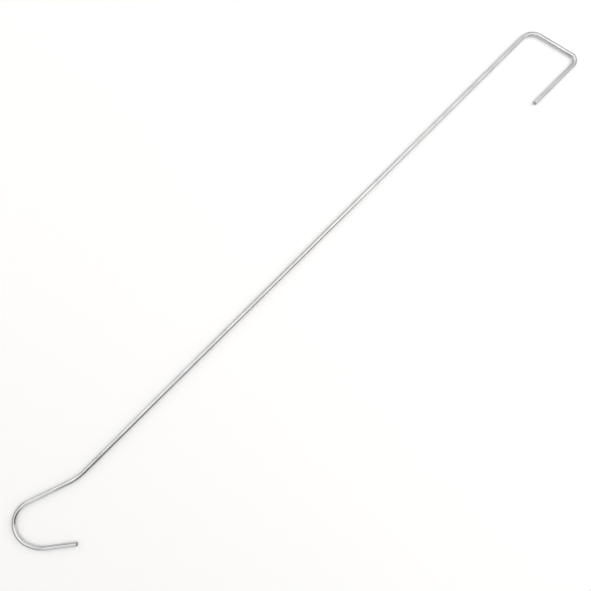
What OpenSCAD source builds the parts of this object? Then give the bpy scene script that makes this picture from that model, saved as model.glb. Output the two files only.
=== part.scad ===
// Ceiling panel hook: one length of bright zinc-plated steel wire, cold-bent flat.
// A squared hook drops over a ceiling rail, a long straight shank hangs from it,
// and a round J hook at the far end carries the panel. The hook lies on its side:
// the shank runs along X, the rail end is at +X, and both hooks open towards -Y.
// The origin is the rail seat, inside the shoulder bend, on the wire's mid-plane.

/* [Wire] */
// Diameter of the drawn wire
wire_d = 2.5; // [1.6:0.1:3.2]
// Depth and width of the edge that the shear rounds off each cut end
end_break = 0.4; // [0.1:0.05:0.5]
// How much thinner the wire is where a bend has stretched it
bend_neck = 0.04; // [0.02:0.01:0.1]

/* [Shank] */
// Straight length between the shoulder bend and the offset bend
shank_l = 350; // [120:5:600]

/* [Rail hook] */
// Clear width between the shank and the return leg
rail_gap = 28.9; // [24:0.1:45]
// Angle by which the crossbar climbs from square towards the toe bend
bar_slope = 14.5; // [0:0.5:25]
// Inside radius of the shoulder bend, between the shank and the crossbar
shoulder_r = 7.1; // [4:0.1:10]
// Inside radius of the toe bend, between the crossbar and the return leg
toe_r = 2.5; // [1.5:0.1:5]
// Straight length of the return leg beyond the toe bend
leg_l = 30.8; // [10:0.1:60]

/* [Offset] */
// Angle by which the wire steps aside, so that the load hangs under the shank
offset_turn = 18.9; // [10:0.1:30]
// Inside radius of the offset bend
offset_r = 29.5; // [10:0.5:50]
// Straight length between the offset bend and the throat
offset_l = 26.9; // [10:0.1:45]

/* [Load hook] */
// Inside radius of the throat
throat_r = 12; // [8:0.1:20]
// Angle that the throat turns through
throat_turn = 132.5; // [100:0.1:140]
// Short straight between the throat and the sprung-back stretch
throat_land = 1; // [0.5:0.1:5]
// Inside radius where the wire has sprung back between the throat and the lip
flare_r = 17.4; // [14:0.1:30]
// Angle that the sprung-back stretch turns through
flare_turn = 29.2; // [20:0.1:45]
// Straight length of the lip
lip_l = 17.6; // [8:0.1:30]

/* [Hidden] */
$fn = 48;

// How far the necked wire of a bend starts inside the straight next to it
neck_lap = 0.1;

// The crossbar leans one way and the return leg comes back parallel to the shank
shoulder_turn = 90 - bar_slope;
toe_turn = 180 - shoulder_turn;

// How far a bend steps sideways, measured on the wire's centreline
function bend_step(turn, inner_r) = (inner_r + wire_d / 2) * (1 - cos(turn));

// Straight part of the crossbar that leaves the clear width between shank and leg
bar_step = rail_gap + wire_d - bend_step(shoulder_turn, shoulder_r) - bend_step(toe_turn, toe_r);
bar_l = bar_step / sin(shoulder_turn);

// Middle of the inner side of the shoulder bend, seen from where the bend starts
rail_seat = [
    shoulder_r * sin(shoulder_turn / 2),
    shoulder_r * cos(shoulder_turn / 2) - shoulder_r - wire_d / 2
];

// A straight length of wire along +X, with what follows placed at its far end
module straight(length) {
    rotate([0, 90, 0])
        cylinder(h = length, d = wire_d);
    translate([length, 0, 0])
        children();
}

// A bend in the XY plane that starts along +X and turns left for a positive angle,
// right for a negative one, with what follows placed at its far end. The wire necks
// as it is drawn round the pin, from just inside the straights on either side.
module bend(turn, inner_r) {
    centre_r = sign(turn) * (inner_r + wire_d / 2);
    lap = neck_lap / abs(centre_r) * 180 / PI;
    translate([0, centre_r, 0]) {
        rotate_extrude(angle = abs(turn) + 2 * lap, start = (turn > 0 ? -90 : 90 + turn) - lap)
            translate([abs(centre_r), 0])
                circle(d = wire_d - bend_neck);
        rotate([0, 0, turn])
            translate([0, -centre_r, 0])
                children();
    }
}

// The sheared end of the wire: flat across, with its rim rounded over by the cut
module cut_end() {
    rotate([0, 90, 0])
        cylinder(h = end_break, d1 = wire_d, d2 = wire_d - 2 * end_break);
}

// The squared hook that drops over the rail, from the shank's upper end outwards
module rail_hook() {
    bend(-shoulder_turn, shoulder_r)
        straight(bar_l)
            bend(-toe_turn, toe_r)
                straight(leg_l - end_break)
                    cut_end();
}

// The round hook that carries the load, from the shank's lower end outwards
module load_hook() {
    bend(-offset_turn, offset_r)
        straight(offset_l)
            bend(throat_turn, throat_r)
                straight(throat_land)
                    bend(flare_turn, flare_r)
                        straight(lip_l - end_break)
                            cut_end();
}

// The whole hook is one wire, drawn outwards from the upper end of the shank
module wire_hook() {
    color("silver")
        translate([-rail_seat.x, -rail_seat.y, 0]) {
            rail_hook();
            rotate([0, 0, 180])
                straight(shank_l)
                    load_hook();
        }
}

wire_hook();
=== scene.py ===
import math

import bpy
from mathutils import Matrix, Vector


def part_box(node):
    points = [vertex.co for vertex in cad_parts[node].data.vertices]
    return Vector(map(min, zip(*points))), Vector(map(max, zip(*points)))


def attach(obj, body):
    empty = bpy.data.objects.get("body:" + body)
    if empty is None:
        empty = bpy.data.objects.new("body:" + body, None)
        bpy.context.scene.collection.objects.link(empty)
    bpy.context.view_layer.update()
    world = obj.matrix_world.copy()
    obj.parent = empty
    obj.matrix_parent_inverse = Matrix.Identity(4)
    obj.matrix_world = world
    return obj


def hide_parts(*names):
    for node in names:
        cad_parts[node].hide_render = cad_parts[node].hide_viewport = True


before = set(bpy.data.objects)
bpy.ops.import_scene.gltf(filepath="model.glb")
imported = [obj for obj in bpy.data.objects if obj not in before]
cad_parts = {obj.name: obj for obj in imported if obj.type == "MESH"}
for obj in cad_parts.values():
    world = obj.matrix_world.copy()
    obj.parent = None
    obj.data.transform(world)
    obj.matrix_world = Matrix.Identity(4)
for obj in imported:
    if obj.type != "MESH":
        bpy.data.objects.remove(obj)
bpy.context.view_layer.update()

# ---------------------------------------------------------------------------------------------
# The wire: one length of low-carbon steel wire, drawn round and zinc plated bright, then bent
# cold round a former at each corner, which pulls it a hair thinner there. It has the same bends
# in the same order as the CAD node, and stands for it.
# ---------------------------------------------------------------------------------------------
MM = 0.001

wire_low, wire_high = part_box("wire_hook")
wire_r = (wire_high.z - wire_low.z) / 2 / MM

# Rail hook, in mm and degrees: radii are inside the bend
leg_l = 30.8
toe_r = 2.5
rail_gap = 28.9
bar_slope = 14.5
shoulder_r = 7.1

# Shank and load hook
shank_l = 350
offset_turn, offset_r, offset_l = 18.9, 29.5, 26.9
throat_turn, throat_r, throat_land = 132.5, 12, 1
flare_turn, flare_r, lip_l = 29.2, 17.4, 17.6

# What a bend takes off the radius, and the length over which that comes and goes
bend_neck, neck_run = 0.03, 1.5
# What is taken off the radius all along, so that the round wire stays inside the node's flat sides
sweep_inset = 0.004

# Rounding of the sheared ends' edges, the most that a torn cut face sinks in, and its tears
end_break, torn_depth = 0.4, 0.12
tears_per_mm = 1.6

# Distance between the sweep's rings in a straight and in a bend, and the points in a ring
straight_step, bend_step = 0.9, 0.3
fewest_straight_rings = 2
wire_sides = 48
# Rings round a sheared edge, and across a cut face: these stand a hair apart along the wire, and
# the last leaves a pinhole for the cap to close
edge_rings, face_rings = 6, 8
face_ring_step, pinhole_r = 0.0005, 0.01

toe_turn = 90 + bar_slope
shoulder_turn = 90 - bar_slope


def side_step(turn, inner_r):
    """How far a bend carries the wire's middle line sideways."""
    return (inner_r + wire_r) * (1 - math.cos(math.radians(turn)))


bend_steps = side_step(toe_turn, toe_r) + side_step(shoulder_turn, shoulder_r)
bar_l = (rail_gap + 2 * wire_r - bend_steps) / math.cos(math.radians(bar_slope))


class WireBender:
    """Feeds wire out straight or round a former, and keeps its middle line as rings: each has its
    x and y, its girth as a share of the radius, and 1 where its steel is bare."""

    def __init__(self):
        self.x, self.y, self.heading = 0.0, 0.0, 0.0
        self.line = []

    def ring(self, girth):
        self.line.append((self.x, self.y, girth, 0))

    def feed(self, length):
        self.x += length * math.cos(self.heading)
        self.y += length * math.sin(self.heading)

    def straight(self, length):
        rings = max(fewest_straight_rings, round(length / straight_step))
        for _ in range(rings):
            self.ring(1)
            self.feed(length / rings)

    def bend(self, turn, inner_r):
        middle_r = inner_r + wire_r
        run = abs(math.radians(turn)) * middle_r
        rings = round(run / bend_step)
        half_turn = math.radians(turn) / rings / 2
        chord = 2 * middle_r * math.sin(abs(half_turn))
        for n in range(rings):
            from_end = min(n, rings - n) * run / rings
            ease = min(1, from_end / neck_run)
            self.ring(1 - bend_neck / wire_r * ease * ease * (3 - 2 * ease))
            self.heading += half_turn
            self.feed(chord)
            self.heading += half_turn


bender = WireBender()
bender.straight(leg_l)
bender.bend(toe_turn, toe_r)
bender.straight(bar_l)
bender.bend(shoulder_turn, shoulder_r)
shoulder_end = (bender.x, bender.y)
bender.straight(shank_l)
bender.bend(-offset_turn, offset_r)
bender.straight(offset_l)
bender.bend(throat_turn, throat_r)
bender.straight(throat_land)
bender.bend(flare_turn, flare_r)
bender.straight(lip_l)
bender.ring(1)

# The row's origin is the rail seat, at the middle of the shoulder bend's inner side
half_shoulder = math.radians(shoulder_turn / 2)
seat_x = shoulder_end[0] + shoulder_r * math.sin(half_shoulder)
seat_y = shoulder_end[1] + shoulder_r * math.cos(half_shoulder) - shoulder_r - wire_r
wire_line = [(x - seat_x, y - seat_y, girth, bare) for x, y, girth, bare in bender.line]

# What the edges' rounding leaves flat of a cut face
face_r = wire_r - end_break


def sheared_end(tip, inward):
    """Rings that round the edge over a quarter turn, and then close the face to its middle."""
    rings = []
    for n in range(1, edge_rings + 1):
        angle = math.radians(90 * n / edge_rings)
        along = end_break * (math.sin(angle) - 1)
        rings.append((along, wire_r - end_break * (1 - math.cos(angle))))
    for n in range(1, face_rings + 1):
        rings.append((face_ring_step * n, face_r * (1 - n / face_rings) + pinhole_r))
    return [
        (tip[0] - inward[0] * along, tip[1] - inward[1] * along, ring_r / wire_r, 1)
        for along, ring_r in rings
    ]


def cut_back(line):
    """The same line with its last ring drawn back by the edge's rounding, and the cut end added."""
    tip, before = line[-1], line[-2]
    length = math.dist(tip[:2], before[:2])
    inward = ((before[0] - tip[0]) / length, (before[1] - tip[1]) / length)
    edge_start = (tip[0] + inward[0] * end_break, tip[1] + inward[1] * end_break, 1, 0)
    return line[:-1] + [edge_start] + sheared_end(tip, inward)


# The lip's end first, then the leg's, which leaves the line running from the lip to the leg
wire_line = cut_back(wire_line)
wire_line = cut_back(wire_line[::-1])

path_mesh = bpy.data.meshes.new("wire_path")
path_mesh.from_pydata(
    [(x * MM, y * MM, 0) for x, y, girth, bare in wire_line],
    [(n, n + 1) for n in range(len(wire_line) - 1)],
    [],
)
girths = path_mesh.attributes.new("girth", "FLOAT", "POINT")
girths.data.foreach_set("value", [girth for x, y, girth, bare in wire_line])
bare_rings = path_mesh.attributes.new("bare", "FLOAT", "POINT")
bare_rings.data.foreach_set("value", [bare for x, y, girth, bare in wire_line])
path = bpy.data.objects.new("wire_path", path_mesh)
bpy.context.scene.collection.objects.link(path)


def linear(hex_colour):
    """An sRGB colour such as "#C8C9CB" as Blender's linear RGBA, by the sRGB curve."""
    channels = [int(hex_colour[n:n + 2], 16) / 255 for n in (1, 3, 5)]
    return [c / 12.92 if c <= 0.04045 else ((c + 0.055) / 1.055) ** 2.4 for c in channels] + [1]


def add_node(tree, kind, inputs=None, **settings):
    """Adds a node with its settings; each input is a value, or the output that feeds it."""
    node = tree.nodes.new(kind)
    for name, value in settings.items():
        setattr(node, name, value)
    for key, value in (inputs or {}).items():
        if isinstance(value, bpy.types.NodeSocket):
            tree.links.new(value, node.inputs[key])
        else:
            node.inputs[key].default_value = value
    return node


# Most of a noise's values lie between these two
noise_low, noise_high = 0.3, 0.7


def bright_zinc_plate():
    """Bright zinc electroplate on drawn wire: a mirror that is broken up by the die's fine lines,
    with duller patches where the plating ran thin or was handled."""
    material = bpy.data.materials.new("bright_zinc_plate")
    material.use_nodes = True
    tree = material.node_tree
    shader = tree.nodes["Principled BSDF"]
    place = add_node(tree, "ShaderNodeAttribute", attribute_name="place_on_wire").outputs["Vector"]

    # Die lines are some 0.03 mm apart, too fine to show: drawn 60 mm long and 0.3 mm apart
    line_size = (60, 0.3, 0.3)
    line_depth = 0.00003
    lines_at = add_node(
        tree, "ShaderNodeMapping", {"Vector": place, "Scale": [1 / size for size in line_size]}
    ).outputs["Vector"]
    lines = add_node(
        tree, "ShaderNodeTexNoise", {"Vector": lines_at, "Scale": 1, "Detail": 3, "Roughness": 0.6}
    ).outputs["Fac"]

    # Patches of thinner plating are 9 mm long and 2 mm across, darker and duller than the rest
    patch_size = (9, 2, 2)
    thin_roughness, full_roughness = 0.24, 0.16
    patches_at = add_node(
        tree, "ShaderNodeMapping", {"Vector": place, "Scale": [1 / size for size in patch_size]}
    ).outputs["Vector"]
    patches = add_node(
        tree, "ShaderNodeTexNoise", {"Vector": patches_at, "Scale": 1, "Detail": 4, "Roughness": 0.55}
    ).outputs["Fac"]

    tone = add_node(tree, "ShaderNodeValToRGB", {"Fac": patches})
    tone.color_ramp.elements[0].position = noise_low
    tone.color_ramp.elements[0].color = linear("#C6C6C8")
    tone.color_ramp.elements[1].position = noise_high
    tone.color_ramp.elements[1].color = linear("#DCDCDC")
    tree.links.new(tone.outputs["Color"], shader.inputs["Base Color"])

    gloss = add_node(
        tree,
        "ShaderNodeMapRange",
        {
            "Value": patches,
            "From Min": noise_low,
            "From Max": noise_high,
            "To Min": thin_roughness,
            "To Max": full_roughness,
        },
    ).outputs["Result"]
    tree.links.new(gloss, shader.inputs["Roughness"])

    relief = add_node(
        tree, "ShaderNodeBump", {"Height": lines, "Strength": 0.8, "Distance": line_depth}
    ).outputs["Normal"]
    tree.links.new(relief, shader.inputs["Normal"])
    shader.inputs["Metallic"].default_value = 1
    # Painted shade: the grey tint dulls the zinc where it is seen edge-on, darkening the wire's rims
    # as its mirror of the paper's contact shadow and the dim room would
    shader.inputs["Specular Tint"].default_value = linear("#A0A0A0")
    return material


def sheared_steel():
    """Bare steel at a sheared end: torn grain that scatters light, so it looks a flat mid grey."""
    material = bpy.data.materials.new("sheared_steel")
    material.use_nodes = True
    tree = material.node_tree
    shader = tree.nodes["Principled BSDF"]
    place = add_node(tree, "ShaderNodeAttribute", attribute_name="place_on_wire").outputs["Vector"]

    # Torn grain is some 0.05 mm wide, too fine to show: drawn 0.3 mm wide
    grain_size = 0.3
    grain_depth = 0.00005
    grain_at = add_node(
        tree, "ShaderNodeMapping", {"Vector": place, "Scale": [1 / grain_size] * 3}
    ).outputs["Vector"]
    grain = add_node(
        tree, "ShaderNodeTexNoise", {"Vector": grain_at, "Scale": 1, "Detail": 3, "Roughness": 0.6}
    ).outputs["Fac"]
    tone = add_node(tree, "ShaderNodeValToRGB", {"Fac": grain})
    tone.color_ramp.elements[0].position = noise_low
    tone.color_ramp.elements[0].color = linear("#999998")
    tone.color_ramp.elements[1].position = noise_high
    tone.color_ramp.elements[1].color = linear("#B3B3B1")
    tree.links.new(tone.outputs["Color"], shader.inputs["Base Color"])
    relief = add_node(
        tree, "ShaderNodeBump", {"Height": grain, "Strength": 0.6, "Distance": grain_depth}
    ).outputs["Normal"]
    tree.links.new(relief, shader.inputs["Normal"])
    shader.inputs["Metallic"].default_value = 1
    shader.inputs["Roughness"].default_value = 0.55
    return material


# The sweep carries the wire's round section along its bent middle line, at each ring's girth
sweep = bpy.data.node_groups.new("wire_sweep", "GeometryNodeTree")
sweep_inputs = {}
for socket_name, socket_type in (
    ("Path", "NodeSocketGeometry"),
    ("Wire Radius", "NodeSocketFloat"),
    ("Sides", "NodeSocketInt"),
    ("Face Girth", "NodeSocketFloat"),
    ("Torn Depth", "NodeSocketFloat"),
    ("Plate", "NodeSocketMaterial"),
    ("Cut Face", "NodeSocketMaterial"),
):
    sweep_inputs[socket_name] = sweep.interface.new_socket(
        socket_name, in_out="INPUT", socket_type=socket_type
    )
sweep.interface.new_socket("Wire", in_out="OUTPUT", socket_type="NodeSocketGeometry")
given = add_node(sweep, "NodeGroupInput").outputs
girth = add_node(
    sweep, "GeometryNodeInputNamedAttribute", {"Name": "girth"}, data_type="FLOAT"
).outputs["Attribute"]

# The middle line as a curve that knows how far along the wire each of its points is
middle_line = add_node(sweep, "GeometryNodeMeshToCurve", {"Mesh": given["Path"]}).outputs["Curve"]
upright = add_node(
    sweep, "GeometryNodeSetCurveNormal", {"Curve": middle_line}, mode="Z_UP"
).outputs["Curve"]
run_length = add_node(sweep, "GeometryNodeSplineParameter").outputs["Length"]
measured = add_node(
    sweep,
    "GeometryNodeStoreNamedAttribute",
    {"Geometry": upright, "Name": "run", "Value": run_length},
    data_type="FLOAT",
    domain="POINT",
).outputs["Geometry"]

# The wire's round section, whose points keep their place across it
section = add_node(
    sweep,
    "GeometryNodeCurvePrimitiveCircle",
    {"Resolution": given["Sides"], "Radius": given["Wire Radius"]},
).outputs["Curve"]
section_place = add_node(sweep, "GeometryNodeInputPosition").outputs["Position"]
marked_section = add_node(
    sweep,
    "GeometryNodeStoreNamedAttribute",
    {"Geometry": section, "Name": "across", "Value": section_place},
    data_type="FLOAT_VECTOR",
    domain="POINT",
).outputs["Geometry"]

swept = add_node(
    sweep,
    "GeometryNodeCurveToMesh",
    {"Curve": measured, "Profile Curve": marked_section, "Scale": girth, "Fill Caps": True},
).outputs["Mesh"]

# Where a point lies on the wire as it was before bending: along it, then across it, in mm
run_of = add_node(
    sweep, "GeometryNodeInputNamedAttribute", {"Name": "run"}, data_type="FLOAT"
).outputs["Attribute"]
across_of = add_node(
    sweep, "GeometryNodeInputNamedAttribute", {"Name": "across"}, data_type="FLOAT_VECTOR"
).outputs["Attribute"]
across_here = add_node(
    sweep, "ShaderNodeVectorMath", {"Vector": across_of, "Scale": girth}, operation="SCALE"
).outputs["Vector"]
across_parts = add_node(sweep, "ShaderNodeSeparateXYZ", {"Vector": across_here}).outputs
unbent = add_node(
    sweep, "ShaderNodeCombineXYZ", {"X": run_of, "Y": across_parts["X"], "Z": across_parts["Y"]}
).outputs["Vector"]
unbent_mm = add_node(
    sweep, "ShaderNodeVectorMath", {"Vector": unbent, "Scale": 1 / MM}, operation="SCALE"
).outputs["Vector"]
placed = add_node(
    sweep,
    "GeometryNodeStoreNamedAttribute",
    {"Geometry": swept, "Name": "place_on_wire", "Value": unbent_mm},
    data_type="FLOAT_VECTOR",
    domain="POINT",
).outputs["Geometry"]

# The cut faces are torn: each sinks in a little and unevenly, deepest at its middle
face_depth = add_node(
    sweep,
    "ShaderNodeMapRange",
    {"Value": girth, "From Min": given["Face Girth"], "From Max": 0, "To Min": 0, "To Max": 1},
).outputs["Result"]
tear = add_node(
    sweep, "ShaderNodeTexNoise", {"Vector": unbent_mm, "Scale": tears_per_mm, "Detail": 3}
).outputs["Fac"]
tear_depth = add_node(
    sweep, "ShaderNodeMath", {0: tear, 1: given["Torn Depth"]}, operation="MULTIPLY"
).outputs["Value"]
torn_here = add_node(
    sweep, "ShaderNodeMath", {0: tear_depth, 1: face_depth}, operation="MULTIPLY"
).outputs["Value"]
sunk = add_node(
    sweep, "ShaderNodeMath", {0: torn_here, 1: -1}, operation="MULTIPLY"
).outputs["Value"]
outward = add_node(sweep, "GeometryNodeInputNormal").outputs["Normal"]
sink_by = add_node(
    sweep, "ShaderNodeVectorMath", {"Vector": outward, "Scale": sunk}, operation="SCALE"
).outputs["Vector"]
torn = add_node(
    sweep, "GeometryNodeSetPosition", {"Geometry": placed, "Offset": sink_by}
).outputs["Geometry"]

# One plain mesh, with the plating all over and bare steel where the shear cut and tore: a face is
# bare from two bare corners of its four
bare_from = 0.4
bare_here = add_node(
    sweep, "GeometryNodeInputNamedAttribute", {"Name": "bare"}, data_type="FLOAT"
).outputs["Attribute"]
on_cut = add_node(
    sweep,
    "FunctionNodeCompare",
    {"A": bare_here, "B": bare_from},
    data_type="FLOAT",
    operation="GREATER_THAN",
).outputs["Result"]
for leftover in ("run", "across"):
    torn = add_node(
        sweep, "GeometryNodeRemoveAttribute", {"Geometry": torn, "Name": leftover}
    ).outputs["Geometry"]
smooth = add_node(sweep, "GeometryNodeSetShadeSmooth", {"Geometry": torn}).outputs["Geometry"]
real = add_node(sweep, "GeometryNodeRealizeInstances", {"Geometry": smooth}).outputs["Geometry"]
plated = add_node(
    sweep, "GeometryNodeSetMaterial", {"Geometry": real, "Material": given["Plate"]}
).outputs["Geometry"]
finished = add_node(
    sweep,
    "GeometryNodeSetMaterial",
    {"Geometry": plated, "Selection": on_cut, "Material": given["Cut Face"]},
).outputs["Geometry"]
add_node(sweep, "NodeGroupOutput", {"Wire": finished})

sweeping = path.modifiers.new("sweep", "NODES")
sweeping.node_group = sweep
for socket_name, value in (
    ("Wire Radius", (wire_r - sweep_inset) * MM),
    ("Sides", wire_sides),
    ("Face Girth", face_r / wire_r),
    ("Torn Depth", torn_depth * MM),
    ("Plate", bright_zinc_plate()),
    ("Cut Face", sheared_steel()),
):
    sweeping[sweep_inputs[socket_name].identifier] = value

depsgraph = bpy.context.evaluated_depsgraph_get()
wire_mesh = bpy.data.meshes.new_from_object(path.evaluated_get(depsgraph))
wire_mesh.name = "bent_wire"
wire = bpy.data.objects.new("bent_wire", wire_mesh)
bpy.context.scene.collection.objects.link(wire)
path.modifiers.remove(sweeping)
bpy.data.objects.remove(path)

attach(wire, "root")
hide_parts("wire_hook")

# ---------------------------------------------------------------------------------------------
# The sheet of matt white paper that the hook lies on, level with the wire's underside. It looks
# white where it lies open, and takes the hook's own soft shadow.
# ---------------------------------------------------------------------------------------------
# Half the sheet's side in metres, which fills any view, and the strength of its glow
sheet_half = 3
paper_glow = 0.08

paper_mesh = bpy.data.meshes.new("white_paper")
paper_mesh.from_pydata(
    [
        (x * sheet_half, y * sheet_half, wire_low.z)
        for x, y in ((-1, -1), (1, -1), (1, 1), (-1, 1))
    ],
    [],
    [(0, 1, 2, 3)],
)
paper = bpy.data.objects.new("white_paper", paper_mesh)
bpy.context.scene.collection.objects.link(paper)


def seen_directly(tree):
    """1 where a ray comes from the camera or off a shiny or clear surface, and 0 elsewhere."""
    rays = add_node(tree, "ShaderNodeLightPath").outputs
    shiny = add_node(
        tree,
        "ShaderNodeMath",
        {0: rays["Is Glossy Ray"], 1: rays["Is Transmission Ray"]},
        operation="MAXIMUM",
    ).outputs["Value"]
    return add_node(
        tree, "ShaderNodeMath", {0: shiny, 1: rays["Is Camera Ray"]}, operation="MAXIMUM"
    ).outputs["Value"]


def white_paper():
    """Matt white paper, with a trace of glow where it is seen, also in the wire, to read as white."""
    material = bpy.data.materials.new("white_paper")
    material.use_nodes = True
    tree = material.node_tree
    shader = tree.nodes["Principled BSDF"]
    shader.inputs["Base Color"].default_value = linear("#F5F4F2")
    shader.inputs["Roughness"].default_value = 0.9
    shader.inputs["Specular IOR Level"].default_value = 0.2
    shader.inputs["Emission Color"].default_value = linear("#FFFFFF")
    glow = add_node(
        tree, "ShaderNodeMath", {0: seen_directly(tree), 1: paper_glow}, operation="MULTIPLY"
    ).outputs["Value"]
    tree.links.new(glow, shader.inputs["Emission Strength"])
    return material


paper_mesh.materials.append(white_paper())

# ---------------------------------------------------------------------------------------------
# Light: a white room with a large soft lamp overhead and three round the sides. Grey cards stand
# round the table, as they do in a studio where bright metal lies: only the wire mirrors them.
# ---------------------------------------------------------------------------------------------
middle = (wire_low + wire_high) / 2
# The camera's turn about the vertical: lamps and cards are placed by its view
view_turn = math.radians(-44.73)
# How brightly the room lights the table, and how bright it looks to the camera and in the wire
room_light, room_seen = 0.68, 1.0
card_steps = 24

world = bpy.data.worlds.new("white_room")
world.use_nodes = True
bpy.context.scene.world = world
sky = world.node_tree.nodes["Background"]
sky_strength = add_node(
    world.node_tree,
    "ShaderNodeMapRange",
    {"Value": seen_directly(world.node_tree), "To Min": room_light, "To Max": room_seen},
).outputs["Result"]
sky.inputs["Color"].default_value = linear("#FFFFFF")
world.node_tree.links.new(sky_strength, sky.inputs["Strength"])


def in_view(across, up, height):
    """A place that lies so far across and up the camera's view from the hook's middle, in metres."""
    right = (math.cos(view_turn), math.sin(view_turn))
    return (
        middle.x + across * right[0] - up * right[1],
        middle.y + across * right[1] + up * right[0],
        height,
    )


def soft_lamp(name, across, up, height, size, watts, mirrored):
    """A square area lamp aimed at the hook's middle, which the wire mirrors or doesn't."""
    light = bpy.data.lights.new(name, "AREA")
    light.shape = "SQUARE"
    light.size = size
    light.energy = watts
    lamp = bpy.data.objects.new(name, light)
    lamp.location = in_view(across, up, height)
    lamp.visible_glossy = mirrored
    lamp.rotation_euler = (middle - lamp.location).to_track_quat("-Z", "Y").to_euler()
    bpy.context.scene.collection.objects.link(lamp)


# The side lamps light the paper only, and the wire mirrors the cards in their place
soft_lamp("upper_right_lamp", across=0.52, up=0.30, height=0.42, size=0.5, watts=1.5, mirrored=False)
soft_lamp("upper_left_lamp", across=-0.52, up=0.30, height=0.42, size=0.5, watts=0.75, mirrored=False)
soft_lamp("lower_right_lamp", across=0.52, up=-0.30, height=0.42, size=0.5, watts=0.45, mirrored=False)
soft_lamp("top_lamp", across=0.15, up=0.06, height=1.0, size=0.8, watts=1.25, mirrored=True)


def card_face(name, brightness):
    """A card's plain grey, as bright as the wire should mirror it."""
    material = bpy.data.materials.new(name)
    material.use_nodes = True
    shader = material.node_tree.nodes["Principled BSDF"]
    shader.inputs["Base Color"].default_value = linear("#000000")
    shader.inputs["Specular IOR Level"].default_value = 0
    shader.inputs["Emission Color"].default_value = linear("#FFFFFF")
    shader.inputs["Emission Strength"].default_value = brightness
    return material


def grey_card(name, start, turn, distance, low, high, brightness):
    """A card bent round the table, seen only in the wire. It starts at a bearing from the view's
    right and runs through a turn, in degrees; its distance and its edges' heights are in metres."""
    bearings = [math.radians(start + turn * n / card_steps) for n in range(card_steps + 1)]
    columns = [(distance * math.cos(bearing), distance * math.sin(bearing)) for bearing in bearings]
    above = card_steps + 1
    mesh = bpy.data.meshes.new(name)
    mesh.from_pydata(
        [in_view(x, y, z) for z in (low, high) for x, y in columns],
        [],
        [(n, n + 1, n + 1 + above, n + above) for n in range(card_steps)],
    )
    mesh.materials.append(card_face(name, brightness))
    card = bpy.data.objects.new(name, mesh)
    card.visible_camera = False
    card.visible_diffuse = False
    card.visible_transmission = False
    card.visible_shadow = False
    bpy.context.scene.collection.objects.link(card)


grey_card("room_card", start=0, turn=360, distance=1.2, low=0, high=0.65, brightness=0.85)
grey_card("upper_right_card", start=15, turn=55, distance=0.45, low=0, high=0.42, brightness=0.65)
grey_card("upper_left_card", start=118, turn=32, distance=0.6, low=0, high=0.40, brightness=0.43)
grey_card("lower_left_card", start=170, turn=70, distance=0.6, low=0, high=0.40, brightness=0.33)
grey_card("lower_right_card", start=-62, turn=30, distance=0.6, low=0, high=0.38, brightness=0)
grey_card("dark_card", start=-122, turn=52, distance=0.25, low=0, high=0.22, brightness=0.05)
grey_card("lit_card", start=145, turn=35, distance=0.7, low=0.35, high=0.9, brightness=1.75)

# ---------------------------------------------------------------------------------------------
# Camera: straight over the hook and close to it, a touch off its middle, and turned so that the
# hook lies on a diagonal. The view's width is at the height of the wire.
# ---------------------------------------------------------------------------------------------
view_height = 0.370
view_width = 0.3357
off_middle_x, off_middle_y = 0.0005, -0.0032
nearest_seen = 0.01

camera_data = bpy.data.cameras.new("camera")
camera_data.sensor_fit = "HORIZONTAL"
camera_data.angle = 2 * math.atan(view_width / 2 / view_height)
camera_data.clip_start = nearest_seen
camera = bpy.data.objects.new("camera", camera_data)
camera.location = (middle.x + off_middle_x, middle.y + off_middle_y, middle.z + view_height)
camera.rotation_euler = (0, 0, view_turn)
bpy.context.scene.collection.objects.link(camera)
bpy.context.scene.camera = camera
bpy.context.scene.view_settings.view_transform = "Standard"
